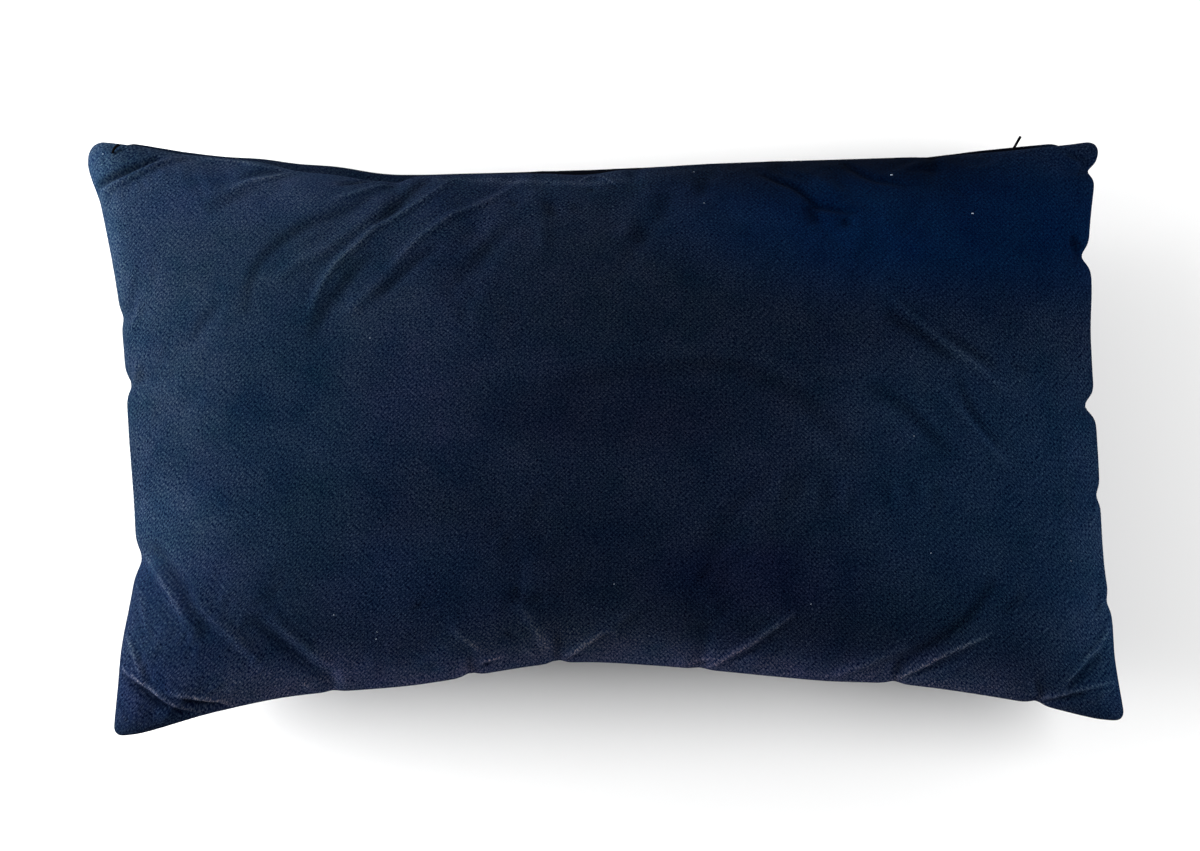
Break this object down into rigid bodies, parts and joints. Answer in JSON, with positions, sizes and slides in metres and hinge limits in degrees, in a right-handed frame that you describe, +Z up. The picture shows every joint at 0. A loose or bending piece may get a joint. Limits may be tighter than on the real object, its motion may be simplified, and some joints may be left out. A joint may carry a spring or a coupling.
{
  "type": "rectangular cushion",
  "caption": "Filled rectangular cushion in dark blue velvet, with a crowned face, drawn-in sides, soft ears and a plain sewn edge.",
  "frame": {"origin": "on the surface that the cushion lies on, under the middle of its box", "axes": "+Z up out of the front face, +X along the length to the right, +Y towards the side that holds the closing"},
  "size_m": [0.597, 0.3446, 0.1363],
  "materials": {
    "velvet": "short dark blue velvet pile with a soft sheen"
  },
  "bodies": {
    "root": {"cushion": "velvet"}
  },
  "joints": []
}
